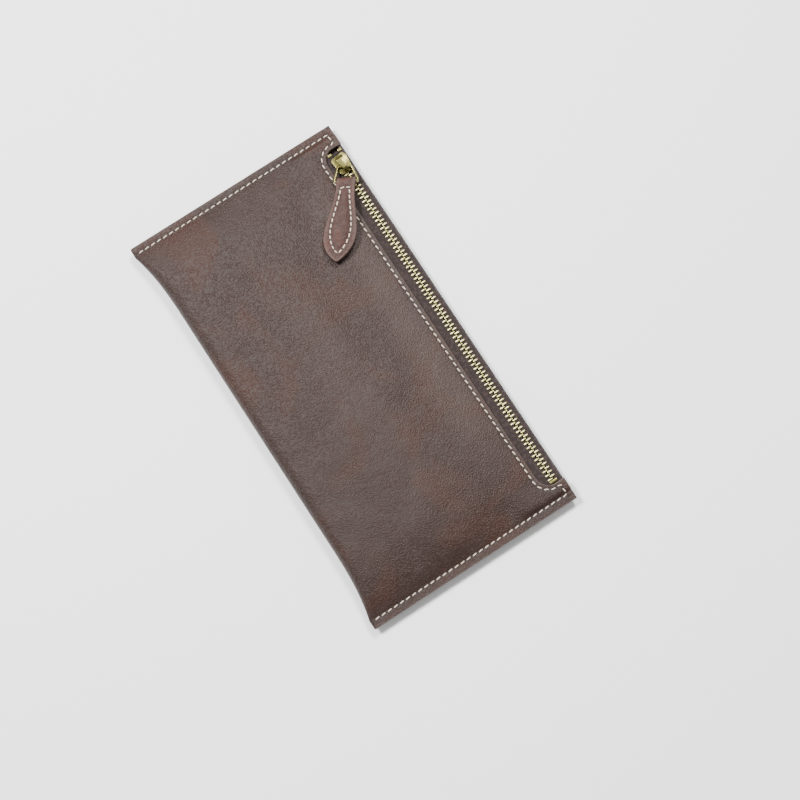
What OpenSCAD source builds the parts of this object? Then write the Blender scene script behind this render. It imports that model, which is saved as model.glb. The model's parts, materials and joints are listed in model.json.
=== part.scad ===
// Flat leather pouch with a metal zipper set in a window along one long edge.
// It lies on its back: X runs from the fold to the zipper, Y along the length, Z up out of the front.

/* [Body] */
// Width from the fold to the zipper edge
pouch_w = 110; // [100:1:125]
// Length along the zipper
pouch_l = 210; // [180:1:240]
// Outside thickness along the fold, away from the seams
fold_t = 12; // [10.5:0.5:14]
// How far the filled fold draws in from its flat corners
fold_draw = 3.6; // [2:0.2:4]
// Thickness of the leather
leather_t = 1.4; // [1.2:0.1:1.5]
// Extra height of the crown between the fold and the zipper
crown = 0.9; // [0:0.1:1.2]
// Length over which the filled body rises from each seam
rise_l = 36; // [30:1:40]

/* [Seams] */
// Distance of the stitches from the cut edge
seam_margin = 3.8; // [3:0.1:4.2]
// Distance of the zipper stitches from the window's edge
window_margin = 2.1; // [1.8:0.1:2.6]
// Distance from one stitch to the next
stitch_pitch = 3.3; // [2.6:0.1:4]
// Visible length of a stitch
stitch_l = 2.1; // [1.5:0.1:2.4]
// Diameter of the sewing thread
thread_d = 0.6; // [0.5:0.05:0.8]

/* [Zipper] */
// Distance of the chain's centre from the pouch's edge
chain_inset = 4.9; // [4.9:0.1:6.5]
// Width of the closed chain
chain_w = 4.2; // [4:0.1:4.3]
// Distance from one tooth to the next in a row
tooth_pitch = 2.2; // [2.1:0.05:2.5]
// Distance from the chain's centre to the window's edge
window_gap = 6.1; // [6:0.1:7.5]
// Distance of the window's ends from the pouch's ends
window_end = 11; // [10.5:0.1:13]
// Radius of the window's inner corners
window_r = 6.2; // [5:0.1:6.2]
// Thickness of the woven tape
tape_t = 0.5; // [0.4:0.05:0.6]
// Width of one half of the tape
tape_w = 12; // [11:0.5:13]

/* [Slider and pull] */
// Length of the slider
slider_l = 9.4; // [9:0.1:9.6]
// Angle of the ring from the zipper's line
pull_swing = 27; // [0:1:27]
// Length of the pull ring between its bars
ring_l = 7.5; // [7:0.1:9]
// Diameter of the ring's wire
wire_d = 1.2; // [1:0.05:1.3]
// Length of the leather pull from the ring's bar to its tip
tab_l = 39; // [34:1:42]
// Greatest width of the leather pull
tab_w = 15.6; // [14:0.2:17]
// Thickness of one leaf of the pull
tab_leaf = 1.1; // [0.9:0.1:1.1]

/* [Hidden] */
$fn = 32;
tiny = 0.05;                                  // clearance between pieces that touch
half_w = pouch_w / 2;
half_l = pouch_l / 2;
seam_gap = 0.2;                               // glue line between the two layers of a seam
seam_t = 2 * leather_t + seam_gap;
seam_z = 5;                                   // height of the seams' middle above the table
flat_margin = seam_margin + 1;                // strip at each end that stays pressed flat
chain_x = half_w - chain_inset;
chain_z = 6;
window_x = chain_x - window_gap;
window_y = half_l - window_end;
window_top = chain_z + tape_t / 2 + tiny + leather_t;   // front leather's top beside the zipper
corner_rise = 2.4;                            // length over which the corners step up to the zipper
edge_low = 0.5;                               // height of the back leather's zipper edge
fullness = 2.6;                               // how steeply the body rises from its seams
zip_side = window_x - tape_w - 10;            // the corners change to their own rise from here on
zip_blend = 12;
edge_from = chain_x - 12;                     // the back leather lifts to its zipper edge from here on
edge_blend = 14;
edge_rise = 8;                                // and from its seams over this length

hide_colour = "#4a3530";
tape_colour = "#3a2c2c";
thread_colour = "#e8dccb";
brass_colour = "#a8995a";
pull_colour = "#5b3a33";

function clamp01(t) = min(1, max(0, t));
function ease(t) = let (c = clamp01(t)) c * c * (3 - 2 * c);
function mix(a, b, t) = a + (b - a) * t;
// Rise from a seam (0) to the filled middle (1), over the length l.
function rise(y, l) = 1 - pow(1 - clamp01((half_l - flat_margin - abs(y)) / l), fullness);
function near_zip(x) = ease((x - zip_side) / zip_blend);
function fold_rise(y) = rise(y, rise_l);
function fold_r(y) = mix(seam_t, fold_t, fold_rise(y)) / 2;
function fold_x(y) = -half_w + fold_draw * fold_rise(y);
function fold_z(y) = mix(seam_z, fold_t / 2, fold_rise(y));

// Outer height of the front leather at a point.
function front_z(x, y) =
    let (start = fold_x(y) + fold_r(y), s = clamp01((window_x - x) / (window_x - start)),
         full = mix(window_top, fold_t, 1 - pow(1 - s, 2)) + crown * sin(180 * s),
         step = rise(y, mix(rise_l, corner_rise, near_zip(x))))
    mix(seam_z + seam_t / 2, window_top, step) + (full - window_top) * rise(y, rise_l);

// Outer height of the back leather at a point.
function back_z(x, y) =
    let (full = edge_low * ease((x - edge_from) / edge_blend))
    mix(seam_z - seam_t / 2, full, rise(y, mix(rise_l, edge_rise, near_zip(x))));

// Where the front leather ends at y: the window's edge, its round corner, or the pouch's edge.
function front_end(y) =
    let (into = abs(y) - (window_y - window_r))
    into <= 0 ? window_x
    : into <= window_r ? window_x + window_r - sqrt(window_r * window_r - into * into)
    : half_w;

// One cross-section of the folded hide at y: outer points, then the inner points back again.
back_steps = 13;
fold_steps = 9;
front_steps = 17;
function section(y) =
    let (r = fold_r(y), x0 = fold_x(y) + r, z0 = fold_z(y), x1 = front_end(y),
         outer = [
            for (i = [0:back_steps - 1]) let (x = mix(half_w, x0, i / back_steps)) [x, back_z(x, y), 0, 1],
            for (i = [0:fold_steps]) let (a = 270 - 180 * i / fold_steps)
                [x0 + r * cos(a), z0 + r * sin(a), -cos(a), -sin(a)],
            for (i = [1:front_steps]) let (x = mix(x0, x1, i / front_steps)) [x, front_z(x, y), 0, -1]
         ])
    [for (p = outer) [p[0], y, p[1]], for (i = [len(outer) - 1:-1:0]) let (p = outer[i])
        [p[0] + leather_t * p[2], y, p[1] + leather_t * p[3]]];

function half_stations() = [
    0, 15, 30, for (i = [0:6]) mix(half_l - flat_margin - rise_l, window_y - window_r, i / 7),
    window_y - window_r,
    for (a = [20:20:80]) window_y - window_r + window_r * sin(a),
    window_y, window_y + tiny, half_l - flat_margin - corner_rise,
    half_l - flat_margin - corner_rise / 2, half_l - flat_margin, half_l
];

// A closed skin over a row of rings that all have the same number of points.
module skin(rings) {
    n = len(rings[0]);
    last = len(rings) - 1;
    sides = [for (j = [0:last - 1], i = [0:n - 1]) let (k = (i + 1) % n, a = j * n, b = a + n)
        each [[a + i, a + k, b + k], [a + i, b + k, b + i]]];
    // The end caps are strips between the outer and the inner line.
    caps = [for (i = [0:n / 2 - 2]) let (k = n - 1 - i, b = last * n)
        each [[i, k, k - 1], [i, k - 1, i + 1], [b + i, b + k - 1, b + k], [b + i, b + i + 1, b + k - 1]]];
    polyhedron([for (r = rings) each r], concat(sides, caps));
}

module hide() {
    half = half_stations();
    ys = concat([for (i = [len(half) - 1:-1:1]) -half[i]], half);
    color(hide_colour) skin([for (y = ys) section(y)]);
}

// The rows part inside the slider and stay parted as far as the top stops.
slider_y = window_y - 8.8;                    // middle of the slider at rest
part_start = -2.6;                            // the rows part between these places on the slider
part_stop = 2.2;
part_from = slider_y + part_start;
part_to = slider_y + part_stop;
part_by = 1.2;
function parting(y) = part_by * clamp01((y - part_from) / (part_to - part_from));
cord_x = 1.3;                                 // cord's distance from the closed chain's centre
cord_r = 0.5;
cord_gap = 0.02;                              // clearance between a cord and its tape
tape_end = window_y + 2.2;                    // tape's ends lie under the corners of the front leather
cord_end = window_y - 1.2;

// The flat strip of tape beside its cord, for side 1 or -1. It reaches out from the chain's centre
// by one distance, and by another past the place where the rows part.
module tape_strip(side, out, parted_out) {
    edge = cord_x + cord_r + cord_gap;
    translate([chain_x, 0, chain_z - tape_t / 2]) linear_extrude(tape_t) polygon([
        [side * edge, -tape_end], [side * edge, part_from], [side * (edge + part_by), part_to],
        [side * (edge + part_by), tape_end], [side * parted_out, tape_end], [side * parted_out, curl_stop],
        [side * out, curl_stop], [side * out, -tape_end]
    ]);
}

module front_tape() {
    color(tape_colour) tape_strip(-1, cord_x + tape_w, cord_x + tape_w + tiny);
}

curl_x = chain_x + 2.75;                      // where the back tape starts to turn down
curl_low = edge_low + leather_t + tiny + tape_t / 2;
curl_r = (chain_z - curl_low) / 2;
flap_w = tape_w - 4.5;                        // the part of the tape that is left for the sewn flap
curl_end = half_l - flat_margin - 12;         // the turned part stops short of the lower corner
curl_stop = part_from - 0.3;                  // and of the place where the rows part
parted_reach = 4.4;                           // the flat tape's reach beside the parted rows

// The turn round to the inside of the back leather, and the sewn flap, as a profile in X and Z.
module curl_profile() {
    outer = curl_r + tape_t / 2;
    inner = curl_r - tape_t / 2;
    mid = chain_z - curl_r;
    polygon(concat(
        [for (a = [90:-15:-90]) [curl_x + outer * cos(a), mid + outer * sin(a)]],
        [[curl_x - flap_w, mid - outer], [curl_x - flap_w, mid - inner]],
        [for (a = [-90:15:90]) [curl_x + inner * cos(a), mid + inner * sin(a)]]
    ));
}

// A profile in X and Z, made l long in Y about the middle.
module bar(l) {
    translate([0, l / 2, 0]) rotate([90, 0, 0]) linear_extrude(l) children();
}

module back_tape() {
    color(tape_colour) union() {
        tape_strip(1, curl_x - chain_x, parted_reach);
        translate([0, (curl_stop - curl_end) / 2, 0]) bar(curl_stop + curl_end) curl_profile();
    }
}

// The round cord woven into a tape's edge. It is straight, then bends away where the rows part.
module tape_cord(side) {
    color(tape_colour) skin([for (y = [-cord_end, part_from, part_to, cord_end]) [for (a = [15:30:345])
        [chain_x + side * (cord_x + parting(y)) + cord_r * cos(a), y, chain_z + cord_r * sin(a)]]]);
}

module front_tape_cord() { tape_cord(-1); }
module back_tape_cord() { tape_cord(1); }

tooth_h = 2.2;
jaw_t = 0.9;                                  // thickness of a tooth's jaws along the chain
head_t = 0.85;                                // thickness of its head, which fits between two others
jaw_x = 0.7;                                  // where the jaws end and the head starts
head_past = 0.45;                             // how far a head reaches past the chain's centre
stop_l = 1.3;
stop_h = 2;
stop_gap = 0.25;                              // space between a stop and the next tooth
bottom_stop_y = -window_y + stop_l / 2 + 0.5;
top_stop_y = window_y - 2;
chain_low = bottom_stop_y + (stop_l + jaw_t) / 2 + stop_gap;
chain_high = top_stop_y - (stop_l + jaw_t) / 2 - stop_gap - tooth_pitch / 2;
tooth_count = floor((chain_high - chain_low) / tooth_pitch) + 1;

// A hole for the cord and the slot for the tape beside it, for a piece that grips the tape at -X.
module grip(l) {
    translate([-cord_x, -l / 2, 0]) rotate([-90, 0, 0]) cylinder(r = cord_r + tiny, h = l, $fn = 20);
    translate([-chain_w, -l / 2, -tape_t / 2 - tiny]) cube([chain_w - cord_x, l, tape_t + 2 * tiny]);
}

// One tooth of the front row, with its jaws round the cord. The head points to +X.
module tooth() {
    difference() {
        union() {
            bar(jaw_t) translate([-chain_w / 2, -tooth_h / 2]) square([chain_w / 2 - jaw_x, tooth_h]);
            bar(head_t) polygon([
                [-jaw_x - 0.1, -1], [head_past - 0.3, -0.8], [head_past, -0.5],
                [head_past, 0.5], [head_past - 0.3, 0.8], [-jaw_x - 0.1, 1]
            ]);
        }
        grip(3);
    }
}

// A row of teeth. Side -1 is the front row, and side 1 the back row, half a pitch on.
module teeth_row(side) {
    for (i = [0:tooth_count - 1]) {
        y = chain_low + (i + (side > 0 ? 0.5 : 0)) * tooth_pitch;
        translate([chain_x + side * parting(y), y, chain_z]) mirror([side > 0 ? 1 : 0, 0, 0]) tooth();
    }
}

module front_teeth() { color(brass_colour) teeth_row(-1); }
module back_teeth() { color(brass_colour) teeth_row(1); }

// A top stop is a small clip bent over one tape and its cord.
module top_stop(side) {
    reach = 1.9;
    outer = 2.5;
    translate([chain_x + side * part_by, top_stop_y, chain_z])
        mirror([side > 0 ? 1 : 0, 0, 0]) difference() {
            translate([-outer, -stop_l / 2, -stop_h / 2]) cube([reach, stop_l, stop_h]);
            grip(2 * stop_l);
        }
}
module front_top_stop() { color(brass_colour) top_stop(-1); }
module back_top_stop() { color(brass_colour) top_stop(1); }

// The bottom stop bridges both tapes and both cords.
module bottom_stop() {
    w = 4;
    color(brass_colour) translate([chain_x, bottom_stop_y, chain_z]) difference() {
        translate([-w / 2, -stop_l / 2, -stop_h / 2]) cube([w, stop_l, stop_h]);
        grip(2 * stop_l);
        mirror([1, 0, 0]) grip(2 * stop_l);
    }
}

// One stitch lying on a surface, centred at a point and turned to the seam's line.
module stitch(x, y, z, turn, l = stitch_l) {
    translate([x, y, z]) rotate([0, 90, turn]) cylinder(d = thread_d, h = l, center = true, $fn = 16);
}

thread_proud = 0.1;                           // height of a stitch's middle above the leather

// Stitches along a straight seam between two points. Side 1 lies on the front leather, and -1 on the back.
module straight_seam(a, b, side) {
    d = b - a;
    count = max(1, round(norm(d) / stitch_pitch));
    for (i = [0:count - 1]) {
        p = a + d * (i + 0.5) / count;
        z = side > 0 ? front_z(p[0], p[1]) + thread_proud : back_z(p[0], p[1]) - thread_proud;
        stitch(p[0], p[1], z, atan2(d[1], d[0]));
    }
}

// Stitches round the window's corner, at the top end (1) or the bottom end (-1).
module corner_seam(end) {
    r = window_r + window_margin;
    count = round(r * PI / 2 / stitch_pitch);
    for (i = [0:count - 1]) {
        a = 90 + 90 * (i + 0.5) / count;
        x = window_x + window_r + r * cos(a);
        y = end * (window_y - window_r + r * sin(a));
        stitch(x, y, front_z(x, y) + thread_proud, end * (a - 90));
    }
}

end_stitch_y = half_l - seam_margin;
corner_stitch_x = half_w - 3.2;
fold_stitch_x = -half_w + 2.2;
zip_stitch_x = window_x - window_margin;
back_zip_x = half_w - 3.6;
turn_gap = 0.6;                               // space left where a seam turns a corner

// The seam at one end, and its turn along the corner to the window, on the front or on the back.
module end_seam(end, side) {
    turn_y = end_stitch_y - turn_gap;
    window_line = window_y + window_margin;
    straight_seam([fold_stitch_x, end * end_stitch_y], [corner_stitch_x - turn_gap, end * end_stitch_y],
        side);
    straight_seam([corner_stitch_x, end * turn_y], [corner_stitch_x, end * window_line], side);
}

module seam_thread() {
    side_y = window_y - window_r;
    color(thread_colour) union() {
        for (end = [-1, 1]) {
            end_seam(end, 1);
            corner_seam(end);
            straight_seam([window_x + window_r, end * (window_y + window_margin)],
                [corner_stitch_x - turn_gap, end * (window_y + window_margin)], 1);
        }
        straight_seam([zip_stitch_x, side_y], [zip_stitch_x, -side_y], 1);
    }
}

module bobbin_thread() {
    color(thread_colour) for (end = [-1, 1]) end_seam(end, -1);
}

module back_zip_thread() {
    color(thread_colour) straight_seam([back_zip_x, curl_end], [back_zip_x, -curl_end], -1);
}

// The slider, about its own middle, with its nose at +Y and the chain's middle at z = 0.
channel_h = tooth_h / 2 + 0.1;
plate_t = 0.9;
nose_w = 4;
tail_w = 3.3;
nose_r = 1.8;
tail_r = 1.4;
slot_low = -0.9;
slot_high = 0.6;
slot_in = 1.2;                                // the slots start this far from the slider's middle
plate_top = channel_h + plate_t;
row_room = chain_w / 2 + 0.25;
wedge_w = 0.62;
wedge_tip = 0.2;

// Outline of both plates, with round corners.
function corner_arc(x, y, r, from) = [for (a = [from:15:from + 90]) [x + r * cos(a), y + r * sin(a)]];
function plate_outline() = let (h = slider_l / 2) concat(
    corner_arc(nose_w - nose_r, h - nose_r, nose_r, 0),
    corner_arc(-nose_w + nose_r, h - nose_r, nose_r, 90),
    corner_arc(-tail_w + tail_r, -h + tail_r, tail_r, 180),
    corner_arc(tail_w - tail_r, -h + tail_r, tail_r, 270)
);

// The room for one row of teeth: straight at the tail, and turned out round the wedge at the nose.
module row_channel(side) {
    polygon([
        [0, -slider_l], [side * row_room, -slider_l], [side * row_room, part_start],
        [side * (row_room + part_by), part_stop], [side * (row_room + part_by), slider_l],
        [side * wedge_w, slider_l], [side * wedge_w, part_stop], [0, wedge_tip]
    ]);
}

module slider_body() {
    color(brass_colour) translate([chain_x, slider_y, chain_z]) difference() {
        translate([0, 0, -plate_top]) linear_extrude(2 * plate_top) polygon(plate_outline());
        for (side = [-1, 1]) {
            translate([0, 0, -channel_h]) linear_extrude(2 * channel_h) row_channel(side);
            // The slot that a tape leaves by.
            mirror([side > 0 ? 0 : 1, 0, 0]) translate([slot_in, -slider_l, slot_low])
                cube([2 * nose_w, 2 * slider_l, slot_high - slot_low]);
        }
    }
}

bridge_t = 1;
bridge_back = -4.5;
bridge_front = 3.9;
bridge_h = 3.2;
bridge_r = 2.1;
bridge_w = 4;
pivot_back = 2;                               // the ring hangs this far behind the slider's middle
pivot_h = 1.15;                               // and its middle is this far above the slider's plate
pivot_y = slider_y - pivot_back;
pivot_z = chain_z + plate_top + pivot_h;

// An arch's outline in Y and Z, from back to front, with round shoulders.
module arch(back, front, h, r) {
    polygon(concat(
        [[front, 0]], corner_arc(front - r, h - r, r, 0), corner_arc(back + r, h - r, r, 90), [[back, 0]]
    ));
}

// Half of the bridge's outline from above: narrow where the ring hangs, and broad over the wedge.
bridge_side = [[0.75, -4.5], [1.05, -3.9], [1.2, -2.5], [1.55, -0.5], [1.9, 1.5], [1.95, 3], [1.6, 4]];

// The bridge that holds the ring on the slider.
module slider_bridge() {
    color(brass_colour) translate([chain_x, slider_y, chain_z + plate_top]) intersection() {
        translate([-bridge_w / 2, 0, 0]) rotate([90, 0, 90]) linear_extrude(bridge_w) difference() {
            arch(bridge_back, bridge_front, bridge_h, bridge_r);
            translate([0, -0.01]) arch(
                bridge_back + bridge_t, bridge_front - bridge_t, bridge_h - bridge_t, bridge_r - bridge_t
            );
        }
        linear_extrude(bridge_h + 1) polygon(concat(
            bridge_side, [for (i = [len(bridge_side) - 1:-1:0]) [-bridge_side[i][0], bridge_side[i][1]]]
        ));
    }
}

// The pull hangs from the bridge towards -Y, swung round Z and tilted up over the leather's crown.
ring_tilt = 7;
tab_tilt = 4.8;
wire_r = wire_d / 2;
ring_top = 6.8;
ring_bottom = 10.8;
bend_r = 0.9;

module pull_frame() {
    translate([chain_x, pivot_y, pivot_z]) rotate([0, 0, -pull_swing]) children();
}
module ring_frame() {
    pull_frame() rotate([-ring_tilt, 0, 0]) children();
}
module tab_frame() {
    pull_frame() translate([0, -ring_l * cos(ring_tilt), ring_l * sin(ring_tilt)])
        rotate([-tab_tilt, 0, 0]) children();
}

module wire(l) { cylinder(r = wire_r, h = l, $fn = 24); }

// A bend of the wire about the origin, from one angle to another.
module wire_bend(from, to) {
    rotate([0, 0, from]) rotate_extrude(angle = to - from) translate([bend_r, 0]) circle(wire_r, $fn = 24);
}

upper_x = ring_top / 2 - bend_r;
lower_x = ring_bottom / 2 - bend_r;
lower_y = -ring_l + bend_r;
upper_y = -bend_r;

module ring_top_bar() {
    color(brass_colour) ring_frame() translate([-upper_x, 0, 0]) rotate([0, 90, 0]) wire(2 * upper_x);
}

// The rest of the ring: two bends and a leg on each side, and the lower bar.
module pull_ring() {
    leg = norm([lower_x - upper_x, upper_y - lower_y]);
    turn = atan2(lower_x - upper_x, upper_y - lower_y);
    color(brass_colour) ring_frame() union() {
        for (side = [0, 1]) mirror([side, 0, 0]) {
            translate([upper_x, upper_y, 0]) wire_bend(turn, 90);
            translate([upper_x + bend_r * cos(turn), upper_y + bend_r * sin(turn), 0])
                rotate([90, 0, turn]) wire(leg);
            translate([lower_x, lower_y, 0]) wire_bend(-90, turn);
        }
        translate([-lower_x, -ring_l, 0]) rotate([0, 90, 0]) wire(2 * lower_x);
    }
}

// The leather pull: a drop folded round the ring's lower bar, with its tip at -Y.
tab_t = wire_d + 0.1 + 2 * tab_leaf;
neck_w = 9;
neck_l = 3;
widest = 0.64;                                // where the drop is widest, from its neck to its tip
stitch_line_top = 3.4;                        // first stitches' distance from the bar
stitch_line_tip = 4;                          // distance of the last stitches from the tip
stitch_line_neck = 4.3;
stitch_line_w = 9.5;
core_neck = 2.4;                              // the core lies inside the stitches
core_w = stitch_line_w - 2;
core_from = -stitch_line_top - 1;
core_to = -tab_l + stitch_line_tip + 2;
core_slack = 0.1;
lean = 0.21;                                  // how far the drop leans to -X for each step towards its tip

// Half of the width of a drop at t from 0 at its neck to 1 at its tip.
function drop_half(t, top, full) = t < widest ? mix(top, full, ease(t / widest)) / 2
    : full / 2 * pow(1 - pow((t - widest) / (1 - widest), 2), 0.8);
function leaning(x, y) = [x + lean * y, y];
function drop_outline(from, to, top, full) = let (n = 24) concat(
    [for (i = [0:n]) let (t = i / n) leaning(-drop_half(t, top, full), mix(from, to, t))],
    [for (i = [n - 1:-1:0]) let (t = i / n) leaning(drop_half(t, top, full), mix(from, to, t))]
);

module pull_leather() {
    color(pull_colour) tab_frame() difference() {
        union() {
            translate([0, 0, -tab_t / 2]) linear_extrude(tab_t) union() {
                polygon(drop_outline(-neck_l, -tab_l, neck_w, tab_w));
                polygon([leaning(-neck_w / 2, 0), leaning(-neck_w / 2, -neck_l - 0.01),
                    leaning(neck_w / 2, -neck_l - 0.01), leaning(neck_w / 2, 0)]);
            }
            translate([-neck_w / 2, 0, 0]) rotate([0, 90, 0]) cylinder(r = tab_t / 2, h = neck_w, $fn = 40);
        }
        translate([-tab_w, 0, 0]) rotate([0, 90, 0]) cylinder(r = wire_r + tiny, h = 2 * tab_w, $fn = 24);
        // The line between the two leaves, and the pocket of the core.
        translate([-tab_w, -tab_l - 1, -tiny]) cube([2 * tab_w, tab_l + 1, 2 * tiny]);
        translate([0, 0, -wire_r - tiny]) linear_extrude(wire_d + 2 * tiny)
            polygon(drop_outline(core_from, core_to, core_neck + 2 * core_slack, core_w));
    }
}

module pull_core() {
    color(pull_colour) tab_frame() translate([0, 0, -wire_r]) linear_extrude(wire_d)
        polygon(drop_outline(core_from - core_slack, core_to + core_slack, core_neck,
            core_w - 2 * core_slack));
}

// Stitches along the drop's line, on its top face (1) or its under face (-1).
module pull_stitches(side) {
    count = 10;
    side_l = 1.9;
    across_l = 1.7;
    across_x = 1.1;
    z = side * (tab_t / 2 + thread_proud / 2);
    function place(t, way) = leaning(way * drop_half(t, stitch_line_neck, stitch_line_w),
        mix(-stitch_line_top, -tab_l + stitch_line_tip, t));
    for (i = [0:count - 1], way = [-1, 1]) {
        a = place(i / count, way);
        b = place((i + 1) / count, way);
        m = (a + b) / 2;
        stitch(m[0], m[1], z, atan2(b[1] - a[1], b[0] - a[0]), side_l);
    }
    for (way = [-1, 1]) {
        p = leaning(way * across_x, -stitch_line_top);
        stitch(p[0], p[1], z, 0, across_l);
    }
}

module pull_thread() { color(thread_colour) tab_frame() pull_stitches(1); }
module pull_bobbin_thread() { color(thread_colour) tab_frame() pull_stitches(-1); }

hide();
seam_thread();
bobbin_thread();
back_zip_thread();
front_tape();
back_tape();
front_tape_cord();
back_tape_cord();
front_teeth();
back_teeth();
front_top_stop();
back_top_stop();
bottom_stop();
slider_body();
slider_bridge();
ring_top_bar();
pull_ring();
pull_leather();
pull_core();
pull_thread();
pull_bobbin_thread();
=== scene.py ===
# A flat leather pouch with a metal zipper, lying on its back: the looks of every piece round the packed
# model. X runs from the fold to the zipper's edge, Y along the zipper, and Z up out of the front.
# Lengths are in millimetres, and become metres where a mesh is made.
import json
import math

import bmesh
import bpy
import numpy as np
from mathutils import Matrix, Vector


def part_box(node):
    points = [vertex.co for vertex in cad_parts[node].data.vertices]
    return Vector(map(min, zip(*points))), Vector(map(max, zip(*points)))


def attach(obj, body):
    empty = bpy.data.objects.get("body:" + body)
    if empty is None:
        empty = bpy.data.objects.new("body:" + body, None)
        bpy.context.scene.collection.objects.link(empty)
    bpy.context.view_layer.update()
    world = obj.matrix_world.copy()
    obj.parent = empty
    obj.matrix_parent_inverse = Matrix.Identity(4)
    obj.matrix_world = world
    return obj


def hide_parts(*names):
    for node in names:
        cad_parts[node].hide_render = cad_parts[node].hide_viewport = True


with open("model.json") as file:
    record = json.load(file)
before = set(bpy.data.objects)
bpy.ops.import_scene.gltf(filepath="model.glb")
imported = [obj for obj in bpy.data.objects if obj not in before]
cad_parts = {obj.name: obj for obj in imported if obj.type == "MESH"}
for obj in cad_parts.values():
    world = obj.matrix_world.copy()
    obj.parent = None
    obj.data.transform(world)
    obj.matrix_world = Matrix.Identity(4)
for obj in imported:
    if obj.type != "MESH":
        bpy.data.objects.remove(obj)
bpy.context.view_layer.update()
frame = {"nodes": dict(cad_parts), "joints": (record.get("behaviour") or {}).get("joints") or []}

MM = 0.001
TURN = 2 * math.pi


# ---------------------------------------------------------------- sizes

def box_mm(node):
    """A node's lowest and highest corners, in millimetres."""
    low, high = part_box(node)
    return np.array(low) / MM, np.array(high) / MM


HALF_W, HALF_L, _ = box_mm("hide")[1]
LEATHER = 1.4                    # thickness of the hide
SEAM_GAP = 0.2                   # glue line between the layers of a seam
SEAM_T = 2 * LEATHER + SEAM_GAP
SEAM_Z = 5.0                     # middle of the seams above the table
FOLD_T = 12.0                    # thickness at the fold, away from the seams
FOLD_DRAW = 3.6                  # how far the filled fold draws in
CROWN = 0.9                      # extra height between the fold and the zipper
RISE = 36.0                      # length over which the body rises from a seam
FULLNESS = 2.6                   # how steeply it rises
CORNER_RISE = 2.4                # the same in the corners beside the zipper
BACK_RISE = 8.0                  # and for the back leather beside the zipper
SEAM_MARGIN = 3.8                # the end seams' stitches from the cut edge
FLAT_MARGIN = SEAM_MARGIN + 1    # strip at each end that stays pressed flat
CHAIN_X = HALF_W - 4.9
CHAIN_Z = 6.0
TAPE_T = 0.5
TAPE_W = 12.0                    # width of one half of the tape
WINDOW_X = CHAIN_X - 6.1         # edge of the window that the zipper shows in
WINDOW_Y = HALF_L - 11
WINDOW_R = 6.2
WINDOW_MARGIN = 2.1              # the zipper's stitches from the window's edge
WINDOW_TOP = CHAIN_Z + TAPE_T / 2 + 0.05 + LEATHER
EDGE_LOW = 0.5                   # height of the back leather beside the zipper
END_STITCH_Y = HALF_L - SEAM_MARGIN
CORNER_STITCH_X = HALF_W - 3.2
FOLD_STITCH_X = -HALF_W + 2.2
BACK_ZIP_X = HALF_W - 3.6        # the stitches that hold the back tape
ZIP_STITCH_X = WINDOW_X - WINDOW_MARGIN
STITCH_PITCH = 3.3
STITCH_L = 2.15
THREAD_D = 0.6
FAR = 9.0                        # a distance that is past every seam's marks


def ease(t):
    t = np.clip(t, 0, 1)
    return t * t * (3 - 2 * t)


def mix(a, b, t):
    return a + (b - a) * t


def bell(d, width):
    """1 at d = 0, and 0 well beyond the width."""
    return np.exp(-(d / width) ** 2)


def rise(y, length):
    """From a seam (0) to the filled middle (1)."""
    return 1 - (1 - np.clip((HALF_L - FLAT_MARGIN - np.abs(y)) / length, 0, 1)) ** FULLNESS


def near_zip(x):
    """0 over the body, and 1 beside the zipper."""
    return ease((x - (WINDOW_X - TAPE_W - 10)) / 12)


def fold_radius(y):
    return mix(SEAM_T, FOLD_T, rise(y, RISE)) / 2


def fold_x(y):
    return -HALF_W + FOLD_DRAW * rise(y, RISE)


def fold_z(y):
    return mix(SEAM_Z, FOLD_T / 2, rise(y, RISE))


def plain_front(x, y):
    """Height of the front leather before its dents and seams."""
    start = fold_x(y) + fold_radius(y)
    s = np.clip((WINDOW_X - x) / (WINDOW_X - start), 0, 1)
    full = mix(WINDOW_TOP, FOLD_T, 1 - (1 - s) ** 2) + CROWN * np.sin(math.pi * s)
    seam_top = SEAM_Z + SEAM_T / 2
    step = rise(y, mix(RISE, CORNER_RISE, near_zip(x)))
    return seam_top + (WINDOW_TOP - seam_top) * step + (full - WINDOW_TOP) * rise(y, RISE)


def plain_back(x, y):
    """Outer height of the back leather."""
    full = EDGE_LOW * ease((x - (CHAIN_X - 12)) / 14)
    return mix(SEAM_Z - SEAM_T / 2, full, rise(y, mix(RISE, BACK_RISE, near_zip(x))))


def past_window(x, y):
    """Distance from the window's edge: above 0 in the leather and below 0 in the window."""
    a = WINDOW_X + WINDOW_R - x
    b = np.abs(y) - (WINDOW_Y - WINDOW_R)
    corner = np.hypot(np.maximum(a, 0), np.maximum(b, 0)) - WINDOW_R
    return np.where((a > 0) & (b > 0), corner, np.maximum(a - WINDOW_R, b - WINDOW_R))


def to_seam(x, y):
    """Distance from the nearest line of stitches on the front."""
    end_line = np.where(x < CORNER_STITCH_X, np.abs(np.abs(y) - END_STITCH_Y), FAR)
    window_line = np.where(x < CORNER_STITCH_X, np.abs(past_window(x, y) - WINDOW_MARGIN), FAR)
    turn_line = np.where(np.abs(y) > WINDOW_Y + WINDOW_MARGIN, np.abs(x - CORNER_STITCH_X), FAR)
    return np.minimum(np.minimum(end_line, window_line), turn_line)


def to_edge(x, y):
    """Distance from the nearest cut edge."""
    return np.minimum(np.minimum(past_window(x, y), HALF_W - x), HALF_L - np.abs(y))


def swell(x, y):
    """Slow waves of soft leather, from -1 to 1."""
    long_waves = np.sin(x / 9.1 + 1.3 + 0.8 * np.sin(y / 23)) * np.sin(y / 17.3 + 0.4 + 0.6 * np.sin(x / 19))
    short_waves = np.sin(x / 5.3 - y / 8.9 + 2.1) * np.sin(y / 6.7 + x / 14 + 0.7)
    return 0.6 * long_waves + 0.4 * short_waves


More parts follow.
